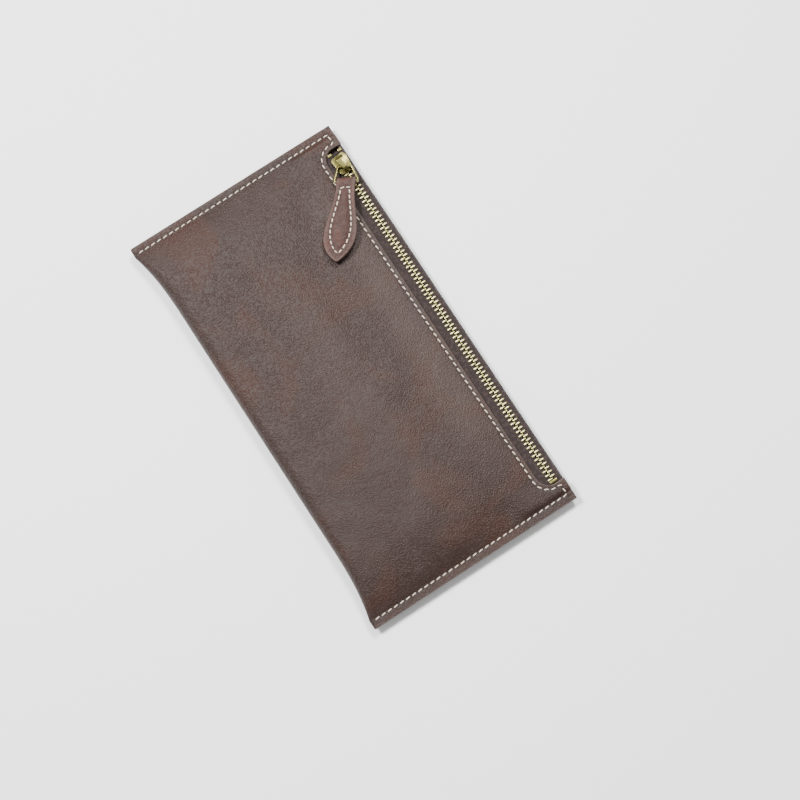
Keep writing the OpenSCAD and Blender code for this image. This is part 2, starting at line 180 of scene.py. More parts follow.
def from_line(x, y, a, b):
    """Distance from the line between two points."""
    ax, ay = a
    dx, dy = b[0] - ax, b[1] - ay
    t = np.clip(((x - ax) * dx + (y - ay) * dy) / (dx * dx + dy * dy), 0, 1)
    return np.hypot(x - ax - t * dx, y - ay - t * dy)


def dents(x, y):
    """The soft valley and its ridge below the pull, slow waves, and small folds at the seams."""
    upper = from_line(x, y, (32, 92), (13, 52))
    lower = from_line(x, y, (13, 52), (13, 2))
    ridge = from_line(x, y, (24, 48), (12, -18))
    valley = bell(np.minimum(upper, lower), 6.5)
    from_end = HALF_L - FLAT_MARGIN - np.abs(y)
    inside = ease(from_end / 9) * ease((WINDOW_X - 5 - x) / 7) * ease((x + 50) / 12)
    folds = bell(3.5 - np.maximum(from_end, 0), 4.5) * np.sin(x / 1.9 + 1.5 * np.sin(x / 6.1)) * 0.09
    return inside * (0.33 * swell(x, y) - 0.85 * valley + 0.3 * bell(ridge, 5)) + folds * ease((40 - x) / 9)


def painted_sheen_zones(x, y):
    """Painted sheen: where the front is painted paler to stand in for highlights: beside the zipper, and
    over the filled middle.
    """
    beside = bell(x - (ZIP_STITCH_X - 8), 9) * ease((y + 85) / 45) * ease((88 - y) / 30)
    return np.clip(beside + 0.55 * bell(x + 4, 12) * bell(y, 50), 0, 1)


def front_height(x, y):
    """Height of the finished front leather, with a groove at the stitches and a pressed margin."""
    groove = 0.3 * bell(to_seam(x, y), 0.75)
    margin = 0.1 * ease((SEAM_MARGIN - (HALF_L - np.abs(y))) / 1.2)
    return plain_front(x, y) + dents(x, y) - groove - margin


# ---------------------------------------------------------------- material maths

def shade(colour, factor):
    """A colour made lighter or darker."""
    return tuple(factor * c for c in colour)


class Value:
    """A number that a node gives, with Python's operators adding Math nodes."""

    def __init__(self, finish, socket):
        self.finish = finish
        self.socket = socket

    def _math(self, operation, first, second=0.0):
        node = self.finish.node("ShaderNodeMath", {"operation": operation}, {0: first, 1: second})
        return Value(self.finish, node.outputs[0])

    def __add__(self, other): return self._math("ADD", self, other)
    def __radd__(self, other): return self._math("ADD", other, self)
    def __rsub__(self, other): return self._math("SUBTRACT", other, self)
    def __mul__(self, other): return self._math("MULTIPLY", self, other)
    def __rmul__(self, other): return self._math("MULTIPLY", other, self)
    def sine(self): return self._math("SINE", self)

    def between(self, low, high):
        """0 up to low, 1 from high, and a smooth rise in between."""
        node = self.finish.node("ShaderNodeMapRange", {"interpolation_type": "SMOOTHSTEP"},
                                {"Value": self, "From Min": low, "From Max": high})
        return Value(self.finish, node.outputs["Result"])


class Finish:
    """A material, made from nodes."""

    def __init__(self, name):
        self.material = bpy.data.materials.new(name)
        self.material.use_nodes = True
        self.tree = self.material.node_tree
        self.tree.nodes.clear()
        self.shader = self.node("ShaderNodeBsdfPrincipled")
        self.node("ShaderNodeOutputMaterial", {}, {"Surface": self.shader.outputs[0]})

    def node(self, kind, settings=None, inputs=None):
        """Adds a node: its settings first, then its sockets' values or links."""
        node = self.tree.nodes.new(kind)
        for key, value in (settings or {}).items():
            setattr(node, key, value)
        for key, value in (inputs or {}).items():
            self.feed(node.inputs[key], value)
        return node

    def feed(self, socket, value):
        """Links a value to a socket, or writes a plain number or colour into it."""
        if isinstance(value, Value):
            value = value.socket
        if isinstance(value, bpy.types.NodeSocket):
            self.tree.links.new(value, socket)
        elif isinstance(value, tuple) and socket.type == "RGBA":
            socket.default_value = (*value, 1)
        else:
            socket.default_value = value

    def set(self, **sockets):
        """Feeds the shader's sockets."""
        for key, value in sockets.items():
            self.feed(self.shader.inputs[key.replace("_", " ")], value)

    def place(self):
        """Where a point is, in metres."""
        return self.node("ShaderNodeTexCoord").outputs["Object"]

    def uv(self):
        """Where a point is on the run of a cloth or a thread."""
        return self.node("ShaderNodeUVMap", {"uv_map": "run"}).outputs[0]

    def axis(self, vector, name):
        return Value(self, self.node("ShaderNodeSeparateXYZ", {}, {0: vector}).outputs[name])

    def attribute(self, name):
        return Value(self, self.node("ShaderNodeAttribute", {"attribute_name": name}).outputs["Fac"])

    def stretched(self, scale):
        """Where a point is, scaled by its own number along each axis."""
        return self.node("ShaderNodeMapping", {}, {"Vector": self.place(), "Scale": scale}).outputs[0]

    def noise(self, size, detail=3.0, rough=0.55, vector=None, warp=0.0):
        """Cloudy noise whose features are about size millimetres."""
        inputs = {"Vector": vector or self.place(), "Scale": 1 / (size * MM), "Detail": detail,
                  "Roughness": rough, "Distortion": warp}
        return Value(self, self.node("ShaderNodeTexNoise", {}, inputs).outputs[0])

    def pebbles(self, size, feature, vector):
        """Distance from the middles of pebbles of about size millimetres."""
        inputs = {"Vector": vector, "Scale": 1 / (size * MM)}
        node = self.node("ShaderNodeTexVoronoi", {"feature": feature}, inputs)
        return Value(self, node.outputs["Distance"])

    def colour_mix(self, amount, first, second):
        """The first colour where the amount is 0, and the second where it is 1."""
        node = self.node("ShaderNodeMix", {"data_type": "RGBA"}, {0: amount, 6: first, 7: second})
        return node.outputs[2]

    def bump(self, height, depth, normal=None):
        """A normal for a relief: height from 0 to 1 stands for depth in millimetres."""
        inputs = {"Height": height, "Distance": depth * MM, "Strength": 1.0}
        if normal is not None:
            inputs["Normal"] = normal
        return self.node("ShaderNodeBump", {}, inputs).outputs[0]


# ---------------------------------------------------------------- finishes

DARK = (0.022, 0.015, 0.013)      # dye and wax gathered along edges and seams


def pebbled_leather(name, body, warm, pale, grain, depth, patch, smooth):
    """Aniline leather with a pebble grain and warm clouds, with painted sheen that makes the pebbles' tops
    pale and painted shade in the creases between them.

    grain and patch are the sizes of its pebbles and clouds, and depth that of the grain, in millimetres.
    """
    f = Finish(name)
    drift = f.node("ShaderNodeTexNoise", {}, {"Vector": f.place(), "Scale": 420.0}).outputs[1]
    drift = f.node("ShaderNodeVectorMath", {"operation": "SCALE"}, {0: drift, "Scale": 0.9 * MM}).outputs[0]
    wandering = f.node("ShaderNodeVectorMath", {"operation": "ADD"}, {0: f.place(), 1: drift}).outputs[0]
    pebbles = 1 - f.pebbles(grain, "F1", wandering).between(0.0, 0.72)
    big_pebbles = 1 - f.pebbles(2.3 * grain, "SMOOTH_F1", wandering).between(0.1, 0.8)
    fine = f.noise(0.4)
    clouds = f.noise(patch, 2.5, 0.5, warp=0.6).between(0.47, 0.64)
    small_clouds = f.noise(patch / 4).between(0.35, 0.75)
    base = f.colour_mix(clouds * 0.9, body, warm)
    base = f.colour_mix(small_clouds * 0.3, base, pale)
    # Painted shade: the creases between the pebbles are darkened.
    base = f.colour_mix(0.35 + 0.65 * pebbles, shade(body, 0.6), base)
    # Painted sheen: paler beside the zipper and over the middle, most on the pebbles' tops.
    base = f.colour_mix(f.attribute("rubbed") * (0.3 + 0.5 * pebbles), base, pale)
    edge, seam = f.attribute("edge"), f.attribute("seam")
    # Painted highlight: a paler band from 0.5 to 3 mm off each cut edge, where the light would catch the
    # rim.
    base = f.colour_mix((1 - edge.between(0.5, 3.0)) * 0.3, base, pale)
    base = f.colour_mix((1 - edge.between(0.0, 0.5)) * 0.5, base, DARK)
    base = f.colour_mix((1 - seam.between(0.2, 1.1)) * 0.4, base, DARK)
    f.set(Base_Color=base, Roughness=smooth + 0.1 * fine + 0.2 * (1 - pebbles), Specular_IOR_Level=0.25)
    relief = 0.72 * pebbles + 0.18 * big_pebbles + 0.1 * fine
    f.set(Normal=f.bump(relief, depth, f.bump(f.noise(9.0, 2.0), 0.3)))
    return f.material


def burnished_edge(name, body):
    """A cut edge, burnished smooth and dyed, with its fibres showing a little."""
    f = Finish(name)
    fibres = f.noise(0.8, 4.0, vector=f.stretched((0.25, 0.25, 3.0)))
    base = f.colour_mix(fibres.between(0.3, 0.7), shade(body, 0.7), body)
    f.set(Base_Color=base, Roughness=0.45 + 0.2 * fibres, Normal=f.bump(fibres, 0.08))
    return f.material


def flesh_side(name, body):
    """The rough inner side of the leather."""
    f = Finish(name)
    nap = f.noise(0.6, 4.0, 0.7)
    base = f.colour_mix(nap.between(0.3, 0.7), body, shade(body, 1.5))
    f.set(Base_Color=base, Roughness=0.9, Normal=f.bump(nap, 0.15))
    return f.material


def waxed_thread(name, body, stain):
    """Twisted thread, stained a little by the wax: UV runs round and along each stitch."""
    f = Finish(name)
    uv = f.uv()
    twist = (TURN * (f.axis(uv, "X") * 2 + f.axis(uv, "Y") * 1.6)).sine() * 0.5 + 0.5
    fuzz = f.noise(0.3)
    # Painted shade: the grooves of the twist are darkened.
    base = f.colour_mix(twist, shade(body, 0.55), body)
    base = f.colour_mix(f.noise(7.0, 2.0).between(0.4, 0.7) * 0.3, base, stain)
    f.set(Base_Color=base, Roughness=0.62 + 0.15 * fuzz, Sheen_Weight=0.15)
    f.set(Normal=f.bump(0.75 * twist + 0.25 * fuzz, 0.12))
    return f.material


def woven_tape(name, body, warp_step=0.62, weft_step=0.5):
    """Zipper tape: warp threads along it, and weft threads that zigzag across. UV is in millimetres."""
    f = Finish(name)
    uv = f.uv()
    across, run = f.axis(uv, "X"), f.axis(uv, "Y")
    warp = (across * (TURN / warp_step)).sine() * 0.5 + 0.5
    zigzag = 0.35 * (across * (TURN / (2 * warp_step))).sine()
    weft = ((run + zigzag) * (TURN / weft_step)).sine() * 0.5 + 0.5
    weave = 0.6 * warp + 0.4 * weft
    fuzz = f.noise(0.35)
    # Painted shade and highlight: the gaps of the weave are darkened and the threads' crowns lightened.
    base = f.colour_mix(weave.between(0.15, 0.85), shade(body, 0.25), shade(body, 1.7))
    base = f.colour_mix(f.noise(1.3, 2.0).between(0.45, 0.65) * 0.5, base, shade(body, 2.6))
    f.set(Base_Color=base, Roughness=0.8 + 0.12 * fuzz, Specular_IOR_Level=0.3, Sheen_Weight=0.05)
    f.set(Normal=f.bump(0.8 * weave + 0.2 * fuzz, 0.32))
    return f.material


def antique_brass(name, body, dark, smooth, wear=1.0):
    """Aged brass: patches of brown-green age and dark specks, scattered by noise over the bright metal."""
    f = Finish(name)
    age = f.noise(2.4, 4.0, 0.6).between(0.38, 0.66)
    specks = f.noise(0.35)
    base = f.colour_mix(age * (0.55 * wear), body, dark)
    base = f.colour_mix(specks.between(0.62, 0.8) * 0.4, base, dark)
    f.set(Base_Color=base, Metallic=1.0, Roughness=smooth + 0.2 * age + 0.12 * specks)
    f.set(Normal=f.bump(f.noise(0.9), 0.03))
    return f.material


leather = pebbled_leather(
    "dark_pebbled_leather", (0.027, 0.0132, 0.0098), (0.043, 0.0150, 0.0082), (0.056, 0.037, 0.031),
    grain=0.74, depth=0.25, patch=34.0, smooth=0.30)
pull_finish = pebbled_leather(
    "pull_leather", (0.046, 0.019, 0.014), (0.080, 0.024, 0.015), (0.13, 0.085, 0.072),
    grain=0.62, depth=0.22, patch=9.0, smooth=0.34)
edge_finish = burnished_edge("burnished_edge", (0.082, 0.058, 0.050))
# Near-black painted shade for the needle holes.
hole_shade_finish = burnished_edge("needle_holes", (0.010, 0.007, 0.006))
inner_side = flesh_side("flesh_side", (0.10, 0.065, 0.045))
thread_finish = waxed_thread("cream_thread", (0.84, 0.73, 0.58), stain=(0.52, 0.40, 0.27))
tape_finish = woven_tape("brown_tape", (0.024, 0.0155, 0.0145))
teeth_finish = antique_brass("brass_teeth", (0.74, 0.67, 0.32), (0.16, 0.135, 0.05), 0.28, 0.6)
slider_finish = antique_brass("antique_slider_brass", (0.125, 0.11, 0.036), (0.025, 0.025, 0.011), 0.18)
ring_finish = antique_brass("antique_ring_brass", (0.19, 0.165, 0.058), (0.04, 0.037, 0.016), 0.2)


# ---------------------------------------------------------------- making pieces

def piece(name, vertices, faces, materials, face_materials=None, uvs=None, attributes=None, smooth=True):
    """A mesh object from vertices in millimetres. uvs has one pair for each vertex."""
    mesh = bpy.data.meshes.new(name)
    corners = [tuple(v) for v in np.asarray(vertices) * MM]
    mesh.from_pydata(corners, [], [tuple(int(i) for i in f) for f in faces])
    for m in materials:
        mesh.materials.append(m)
    if face_materials is not None:
        mesh.polygons.foreach_set("material_index", np.asarray(face_materials, dtype=np.int32))
    if uvs is not None:
        layer = mesh.uv_layers.new(name="run")
        loops = np.empty(len(mesh.loops), dtype=np.int32)
        mesh.loops.foreach_get("vertex_index", loops)
        layer.data.foreach_set("uv", np.asarray(uvs, dtype=np.float32)[loops].ravel())
    for key, values in (attributes or {}).items():
        layer = mesh.attributes.new(key, "FLOAT", "POINT")
        layer.data.foreach_set("value", np.asarray(values, dtype=np.float32))
    mesh.polygons.foreach_set("use_smooth", np.full(len(mesh.polygons), smooth))
    mesh.update()
    obj = bpy.data.objects.new(name, mesh)
    bpy.context.scene.collection.objects.link(obj)
    return obj


def finish_piece(obj, body, slot, *nodes):
    """Rides a piece on its body and stands it for CAD nodes. The slot is not used."""
    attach(obj, body)
    if nodes:
        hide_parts(*nodes)
    return obj


def tube_faces(rings, around, offset=0):
    """Quads of a tube of rings, and its two end faces. The tube's vertices start at the offset."""
    faces = []
    for j in range(rings - 1):
        for i in range(around):
            k = (i + 1) % around
            a, b = offset + j * around, offset + (j + 1) * around
            faces.append((a + i, a + k, b + k, b + i))
    faces.append(tuple(offset + i for i in reversed(range(around))))
    faces.append(tuple(offset + (rings - 1) * around + i for i in range(around)))
    return faces


# ---------------------------------------------------------------- the hide

def graded(low, high, step, fine_step, fine):
    """Places from low to high, with finer steps in the last stretch."""
    coarse = max(1, round((high - fine - low) / step))
    close = max(1, round(fine / fine_step))
    return np.concatenate([np.linspace(low, high - fine, coarse, endpoint=False),
                           np.linspace(high - fine, high, close + 1)])


ROLL = 0.55                      # radius of the rubbed corner of a cut edge
EDGE_BAND = 0.42                 # width of the burnished band along it
FOLD_STEPS = 14
PANEL_W = 90                     # about the front panel's width
roll_steps = ROLL * (1 - np.cos(np.radians([0, 25, 50, 75])))


def hide_rows():
    """Places along Y, from the bottom end to the top end."""
    side_y = WINDOW_Y - WINDOW_R
    up = np.concatenate([
        graded(0, side_y, 1.5, 0.7, 8),
        side_y + WINDOW_R * np.sin(np.linspace(0, math.pi / 2, 15)[1:]),
        WINDOW_Y + roll_steps[1:],
        np.linspace(WINDOW_Y + ROLL, HALF_L - ROLL, 24),
        HALF_L - roll_steps[::-1],
    ])
    return np.concatenate([-up[:0:-1], up])


def hide_columns():
    """Places across the back panel and the front panel, as shares of them, and X across a corner's tab."""
    back = np.concatenate([[0, 0.05, 0.2, 0.45], np.linspace(1.2, 16, 18), np.linspace(18, 100, 36)])
    roll = roll_steps[:0:-1] / PANEL_W
    front = np.concatenate([graded(0, 1, 0.016, 0.0045, 0.1)[:-1], 1 - roll, [1.0]])
    tab = np.concatenate([np.linspace(WINDOW_X + WINDOW_R, HALF_W - ROLL, 13), HALF_W - roll_steps[2::-1]])
    return back / back[-1], np.unique(np.round(front, 6)), tab


def window_edge(y):
    """Where the front panel ends at y: at the window, its round corner, or the start of the corner's tab."""
    into = np.clip((np.abs(y) - (WINDOW_Y - WINDOW_R)) / WINDOW_R, 0, 1)
    return WINDOW_X + WINDOW_R * (1 - np.sqrt(1 - into * into))


def rolled(d):
    """How much a cut edge is rounded off at the distance d from it."""
    d = np.clip(d, 0, ROLL)
    return ROLL - np.sqrt(ROLL * ROLL - (ROLL - d) ** 2)


def hide_section(y, back, front):
    """Points and normals of one section, from the back's edge round the fold to the front's edge."""
    r, z0 = fold_radius(y), fold_z(y)
    x0 = fold_x(y) + r
    a = np.radians(270 - 180 * np.arange(FOLD_STEPS + 1) / FOLD_STEPS)
    back_x = HALF_W - (HALF_W - x0) * back[:-1]
    front_x = x0 + (window_edge(y) - x0) * front[1:]
    x = np.concatenate([back_x, x0 + r * np.cos(a), front_x])
    z = np.concatenate([plain_back(back_x, y), z0 + r * np.sin(a), front_height(front_x, y)])
    nx = np.concatenate([0 * back_x, np.cos(a), 0 * front_x])
    nz = np.concatenate([0 * back_x - 1, np.sin(a), 0 * front_x + 1])
    return np.stack([x, 0 * x + y, z], 1), np.stack([nx, 0 * nx, nz], 1)


def grid_quads(index):
    """Quads between the rows and columns of a grid of vertex numbers."""
    return np.stack([index[:-1, :-1], index[:-1, 1:], index[1:, 1:], index[1:, :-1]], -1).reshape(-1, 4)


def rim_quads(quads, count):
    """Quads that join the outside to the inside, count vertices on, along every edge that has one face."""
    sides = np.concatenate([quads[:, [0, 1]], quads[:, [1, 2]], quads[:, [2, 3]], quads[:, [3, 0]]])
    keys = np.sort(sides, 1)
    _, first, times = np.unique(keys[:, 0] * count + keys[:, 1], return_index=True, return_counts=True)
    rim = sides[first[times == 1]]
    return np.stack([rim[:, 1], rim[:, 0], rim[:, 0] + count, rim[:, 1] + count], 1)


def make_hide():
    rows = hide_rows()
    back, front, tab = hide_columns()
    sections = np.array([hide_section(y, back, front) for y in rows])
    points, normals = sections[:, 0].reshape(-1, 3), sections[:, 1].reshape(-1, 3)
    index = np.arange(len(points)).reshape(len(rows), -1)
    quads = grid_quads(index)
    # The two tabs in the corners beside the zipper share their first column with the panel.
    for tab_rows in (np.nonzero(rows <= -WINDOW_Y + 1e-6)[0], np.nonzero(rows >= WINDOW_Y - 1e-6)[0]):
        gx, gy = np.meshgrid(tab[1:], rows[tab_rows])
        grid = len(points) + np.arange(gx.size).reshape(gx.shape)
        points = np.concatenate([points, np.stack([gx, gy, front_height(gx, gy)], -1).reshape(-1, 3)])
        normals = np.concatenate([normals, np.tile([0.0, 0.0, 1.0], (gx.size, 1))])
        quads = np.concatenate([quads, grid_quads(np.column_stack([index[tab_rows, -1], grid]))])
    x, y = points[:, 0], points[:, 1]
    front_side = normals[:, 2] > 0.5
    edge = np.where(front_side, to_edge(x, y), np.minimum(HALF_W - x, HALF_L - np.abs(y)))
    edge = np.maximum(edge, 0)
    values = {
        "edge": edge,
        "seam": np.where(front_side, to_seam(x, y), np.abs(np.abs(y) - END_STITCH_Y)),
        # Painted sheen: where the front is painted paler to stand in for highlights.
        "rubbed": np.where(front_side, painted_sheen_zones(x, y), 0),
    }
    off = rolled(edge)[:, None]
    outside = points - normals * off
    inside = points - normals * (LEATHER - 0.5 * off)
    rim = rim_quads(quads, len(points))
    faces = np.concatenate([quads, quads[:, ::-1] + len(points), rim])
    band = edge[quads].max(1) < EDGE_BAND
    kinds = np.concatenate([np.where(band, 1, 0), np.where(band, 1, 2), np.ones(len(rim), int)])
    both_sides = {key: np.tile(value, 2) for key, value in values.items()}
    shell = piece("hide_leather", np.concatenate([outside, inside]), faces,
                  [leather, edge_finish, inner_side], kinds, attributes=both_sides)
    finish_piece(shell, "pouch", "hide_leather", "hide")


# ---------------------------------------------------------------- stitches

def spaced(line, pitch):
    """Places and directions of stitches at an even pitch along a line of points."""
    line = np.array(line, float)
    lengths = np.hypot(*np.diff(line[:, :2], axis=0).T)
    walked = np.concatenate([[0], np.cumsum(lengths)])
    count = round(walked[-1] / pitch)
    at = (np.arange(count) + 0.5) * walked[-1] / count
    step = 0.4 * pitch

    def point(s):
        return np.stack([np.interp(s, walked, line[:, k]) for k in range(line.shape[1])], -1)

    ahead = point(at + step) - point(at - step)
    return point(at), ahead / np.linalg.norm(ahead, axis=1)[:, None]


def stitch_row(places, directions, ups, length=STITCH_L, thick=THREAD_D, slant=9.0):
    """One closed, bowed capsule for each stitch, dipping into the leather at both ends."""
    around, rings = 8, 7
    vertices, faces, uvs = [], [], []
    for p, d, up in zip(places, directions, ups):
        side = np.cross(up, d)
        turn = math.radians(slant)
        d = d * math.cos(turn) + side * math.sin(turn)
        side = np.cross(up, d)
        start = len(vertices)
        for j in range(rings):
            t = -1 + 2 * j / (rings - 1)
            bow = thick * (0.22 - 0.62 * abs(t) ** 3)
            r = thick / 2 * (1 - 0.28 * abs(t) ** 4)
            centre = p + d * (t * length / 2) + up * bow
            for i in range(around):
                a = 2 * math.pi * i / around
                vertices.append(centre + r * (math.cos(a) * side + 0.85 * math.sin(a) * up))
                uvs.append((i / around, t * length))
        faces += tube_faces(rings, around, offset=start)
    return vertices, faces, uvs


def front_seam_line():
    """The one line of stitches on the front: top end, window and bottom end."""
    line_y = WINDOW_Y + WINDOW_MARGIN
    r = WINDOW_R + WINDOW_MARGIN
    centre_x = WINDOW_X + WINDOW_R
    line = [(FOLD_STITCH_X, END_STITCH_Y), (CORNER_STITCH_X, END_STITCH_Y)]
    line += [(CORNER_STITCH_X, line_y), (centre_x, line_y)]
    arc = [math.radians(a) for a in range(90, 181, 6)]
    line += [(centre_x + r * math.cos(a), WINDOW_Y - WINDOW_R + r * math.sin(a)) for a in arc]
    return line + [(x, -y) for x, y in reversed(line)]


def laid(places, ways, heights, up):
    """Flat places and ways brought to their heights, with the way out of the leather, 1 or -1 along Z."""
    ups = np.tile([0.0, 0.0, up], (len(heights), 1))
    return np.column_stack([places, heights]), np.column_stack([ways, 0 * heights]), ups


def make_front_stitches():
    places, ways = spaced(front_seam_line(), STITCH_PITCH)
    heights = front_height(places[:, 0], places[:, 1]) + 0.12
    vertices, faces, uvs = stitch_row(*laid(places, ways, heights, 1.0))
    threads = piece("front_stitches", vertices, faces, [thread_finish], uvs=uvs)
    finish_piece(threads, "pouch", "thread", "seam_thread")
    # Painted shade: a near-black mark between each stitch and the next stands for the shade in its needle
    # hole.
    middles = (places[1:] + places[:-1]) / 2
    heights = front_height(middles[:, 0], middles[:, 1]) - 0.16
    vertices, faces, _ = stitch_row(*laid(middles, ways[:-1], heights, 1.0), length=0.95, thick=0.5, slant=0)
    holes = piece("front_needle_holes", vertices, faces, [hole_shade_finish])
    finish_piece(holes, "pouch", "hide_leather")


def make_back_stitches():
    ends = [[(FOLD_STITCH_X, end * END_STITCH_Y), (CORNER_STITCH_X, end * END_STITCH_Y),
             (CORNER_STITCH_X, end * WINDOW_Y)] for end in (-1, 1)]
    beside_zip = [[(BACK_ZIP_X, WINDOW_Y), (BACK_ZIP_X, -WINDOW_Y)]]
    for name, lines, node in (
        ("back_stitches", ends, "bobbin_thread"),
        ("back_zipper_stitches", beside_zip, "back_zip_thread"),
    ):
        runs = [spaced(line, STITCH_PITCH) for line in lines]
        places = np.concatenate([run[0] for run in runs])
        ways = np.concatenate([run[1] for run in runs])
        heights = plain_back(places[:, 0], places[:, 1]) - 0.02
        vertices, faces, uvs = stitch_row(*laid(places, ways, heights, -1.0))
        finish_piece(piece(name, vertices, faces, [thread_finish], uvs=uvs), "pouch", "thread", node)


make_hide()
make_front_stitches()
make_back_stitches()


# ---------------------------------------------------------------- the zipper

CHAIN_W = 4.2
TOOTH_PITCH = 2.2
SLIDER_Y = WINDOW_Y - 8.8
PART_FROM = SLIDER_Y - 2.6       # the rows part inside the slider, and stay parted up to the top stops
PART_TO = SLIDER_Y + 2.2
PART_BY = 1.2
CORD_X = 1.3
CORD_R = 0.5
TAPE_END = WINDOW_Y + 2.2
CORD_END = WINDOW_Y - 1.2
FIRST_TOOTH_Y = -WINDOW_Y + 2.5
TEETH = 83
CURL_X = CHAIN_X + 2.75          # where the back tape turns down to the back leather
FLAP_W = 7.5
INTO_CORD = 0.12                 # how far a tape's edge reaches into its cord


def parting(y):
    """How far each row stands off the chain's middle at y, over its closed place."""
    return PART_BY * np.clip((y - PART_FROM) / (PART_TO - PART_FROM), 0, 1)


def tape_rows():
    """Places along Y for the tapes and cords, closer together where they part."""
    closed = np.linspace(-TAPE_END, PART_FROM, 130)
    parted = np.linspace(PART_FROM, TAPE_END, 26)
    return np.unique(np.concatenate([closed, parted]))


def strip(name, paths, rows, materials):
    """A cloth strip of the tape's thickness. paths(y) gives its middle line as X, Z points at each row."""
    vertices, uvs = [], []
    for y in rows:
        line = np.array(paths(y))
        way = np.gradient(line, axis=0)
        way /= np.linalg.norm(way, axis=1)[:, None]
        out = np.stack([-way[:, 1], way[:, 0]], 1)
        thick = np.full(len(line), TAPE_T / 2)
        thick[[0, -1]] *= 0.4
        run = np.concatenate([[0], np.cumsum(np.linalg.norm(np.diff(line, axis=0), axis=1))])
        upper, lower = line + out * thick[:, None], line - out * thick[:, None]
        for ring, places in ((upper, run), (lower[::-1], run[::-1])):
            vertices += [(x, y, z) for x, z in ring]
            uvs += [(u, y) for u in places]
    faces = tube_faces(len(rows), 2 * len(line))
    return piece(name, vertices, faces, materials, uvs=uvs)


def make_tapes():
    rows = tape_rows()

    def front_path(y):
        inner = CHAIN_X - CORD_X - CORD_R + INTO_CORD - parting(y)
        x = np.linspace(inner, CHAIN_X - CORD_X - TAPE_W, 15)
        return [(a, CHAIN_Z - 0.04 * math.sin(y / 2.3 + a)) for a in x]

    def back_path(y):
        inner = CHAIN_X + CORD_X + CORD_R - INTO_CORD + parting(y)
        low = plain_back(CURL_X, y) + LEATHER + 0.08 + TAPE_T / 2
        start = CURL_X + 0.75 * float(ease((y - PART_FROM + 3) / 5))
        r = max(0.7, min((CHAIN_Z - low) / 2, HALF_W - 0.25 - start))
        flat = [(a, CHAIN_Z) for a in np.linspace(inner, start - 0.2, 4)]
        turn = [(start + r * math.cos(a), CHAIN_Z - r + r * math.sin(a))
                for a in np.radians(np.arange(80, -91, -10))]
        return flat + turn + [(start - a, CHAIN_Z - 2 * r) for a in np.linspace(1, FLAP_W, 5)]

    front = strip("front_zipper_tape", front_path, rows, [tape_finish])
    back = strip("back_zipper_tape", back_path, rows, [tape_finish])
    for obj, node in ((front, "front_tape"), (back, "back_tape")):
        recalculate(obj)
        finish_piece(obj, "pouch", "zip_tape", node)


def make_cords():
    around = 12
    rows = np.unique(np.clip(tape_rows(), -CORD_END, CORD_END))
    for side, node in ((-1, "front_tape_cord"), (1, "back_tape_cord")):
        vertices, uvs = [], []
        for y in rows:
            x = CHAIN_X + side * (CORD_X + parting(y))
            for i in range(around):
                a = 2 * math.pi * i / around
                vertices.append((x + CORD_R * math.cos(a), y, CHAIN_Z + CORD_R * math.sin(a)))
                uvs.append((i * 0.26, y))
        name = node.replace("tape_cord", "zipper_cord")
        obj = piece(name, vertices, tube_faces(len(rows), around), [tape_finish], uvs=uvs)
        recalculate(obj)
        finish_piece(obj, "pouch", "zip_tape", node)


# ---------------------------------------------------------------- modelling by hand

def only(obj):
    """Selects one object and nothing else."""
    if bpy.context.object and bpy.context.object.mode != "OBJECT":
        bpy.ops.object.mode_set(mode="OBJECT")
    bpy.ops.object.select_all(action="DESELECT")
    obj.select_set(True)
    bpy.context.view_layer.objects.active = obj


def recalculate(obj):
    """Turns all faces of a closed shape outwards."""
    only(obj)
    bpy.ops.object.mode_set(mode="EDIT")
    bpy.ops.mesh.select_all(action="SELECT")
    bpy.ops.mesh.normals_make_consistent(inside=False)
    bpy.ops.object.mode_set(mode="OBJECT")


def block(name, low, high):
    """A block between two corners in millimetres, left in edit mode with all of it selected."""
    low, high = np.array(low) * MM, np.array(high) * MM
    bpy.ops.object.select_all(action="DESELECT")
    bpy.ops.mesh.primitive_cube_add(size=1, location=(low + high) / 2, scale=high - low)
    obj = bpy.context.object
    obj.name = name
    bpy.ops.object.transform_apply(location=True, rotation=True, scale=True)
    bpy.ops.object.mode_set(mode="EDIT")
    return obj


def pick(obj, kind, test):
    """In edit mode, selects faces (or edges) by a test of middle (in millimetres) and normal (or run)."""
    bpy.ops.mesh.select_all(action="DESELECT")
    bpy.ops.mesh.select_mode(type="FACE" if kind == "faces" else "EDGE")
    shape = bmesh.from_edit_mesh(obj.data)
    for part in getattr(shape, kind):
        if kind == "faces":
            middle, way = part.calc_center_median(), part.normal
        else:
            middle = (part.verts[0].co + part.verts[1].co) / 2
            way = (part.verts[1].co - part.verts[0].co).normalized()
        part.select_set(bool(test(middle / MM, way)))
    shape.select_flush_mode()
    bmesh.update_edit_mesh(obj.data)


def apply_modifier(obj, kind, **settings):
    only(obj)
    modifier = obj.modifiers.new(kind.lower(), kind)
    for key, value in settings.items():
        setattr(modifier, key, value)
    bpy.ops.object.modifier_apply(modifier=modifier.name)


def model_tooth():
    """One tooth of the front row: jaws at -X, and a narrower rounded head at +X."""
    tooth = block("tooth", (-CHAIN_W / 2, -0.36, -1.1), (-0.7, 0.36, 1.1))
    pick(tooth, "faces", lambda m, n: n.x > 0.9)
    bpy.ops.mesh.inset(thickness=0.05 * MM)
    bpy.ops.mesh.extrude_region_move(TRANSFORM_OT_translate={"value": (0.8 * MM, 0, 0)})
    bpy.ops.mesh.extrude_region_move(TRANSFORM_OT_translate={"value": (0.32 * MM, 0, 0)})
    bpy.ops.transform.resize(value=(1, 0.72, 0.7))
    pick(tooth, "faces", lambda m, n: n.x < -0.9)
    bpy.ops.transform.resize(value=(1, 0.86, 0.8))
    bpy.ops.object.mode_set(mode="OBJECT")
    apply_modifier(tooth, "BEVEL", width=0.14 * MM, segments=1, limit_method="ANGLE",
                   angle_limit=math.radians(35))
    return tooth


